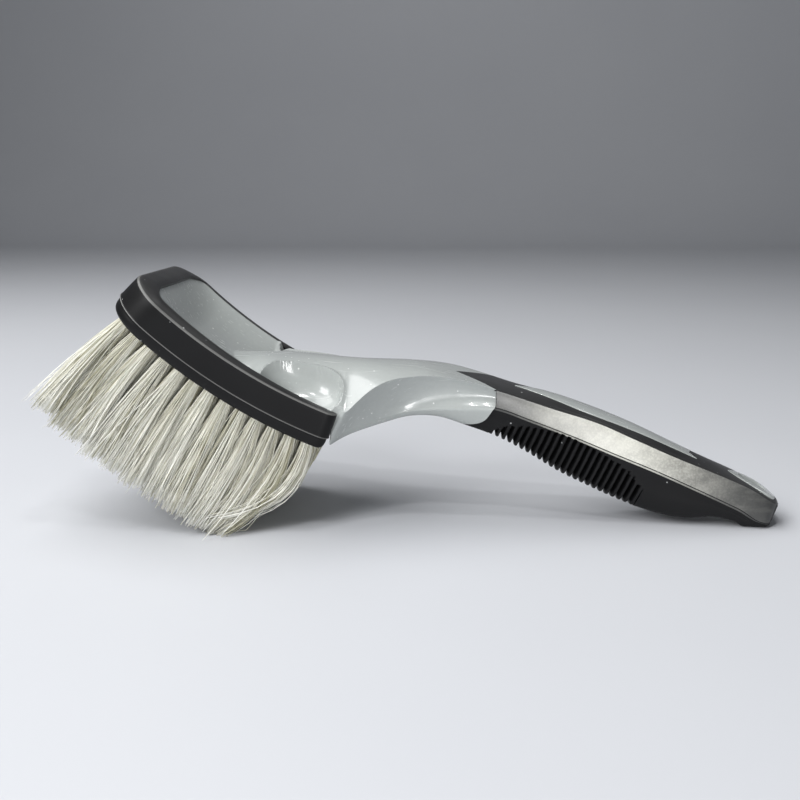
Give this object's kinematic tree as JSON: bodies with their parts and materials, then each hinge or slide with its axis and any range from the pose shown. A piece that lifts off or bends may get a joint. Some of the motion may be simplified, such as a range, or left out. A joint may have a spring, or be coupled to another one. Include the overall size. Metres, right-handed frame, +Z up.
{
  "type": "wheel brush",
  "caption": "Short-handled car wash brush with a bowed bumper-edged head, tufted filament face, arched neck, finned grip and hang hole at the tail",
  "frame": {"origin": "bottom centre of the bounding box, on the surface that the brush lies on", "axes": "+X along the brush from the head to the tail, +Y across it, +Z up; the brush is symmetric about the plane Y = 0"},
  "size_m": [0.2804, 0.067, 0.0954],
  "materials": {
    "light_grey_plastic": "glossy light grey hard plastic with a fine moulded sheen",
    "black_grip": "satin black soft-touch rubber, rubbed shiny on the flat side bands",
    "black_bumper": "satin black moulded rubber with a fine parting line",
    "black_block": "matt black plastic",
    "filament": "cream translucent filaments with frayed tips"
  },
  "bodies": {
    "root": {"handle_core": "light_grey_plastic", "grip_overmould": "black_grip", "head_bumper": "black_bumper", "bristle_block": "black_block", "tuft_row_01": "filament", "tuft_row_02": "filament", "tuft_row_03": "filament", "tuft_row_04": "filament", "tuft_row_05": "filament", "tuft_row_06": "filament", "tuft_row_07": "filament", "tuft_row_08": "filament", "tuft_row_09": "filament", "tuft_row_10": "filament", "tuft_row_11": "filament", "tuft_row_12": "filament", "tuft_row_13": "filament"}
  },
  "joints": []
}
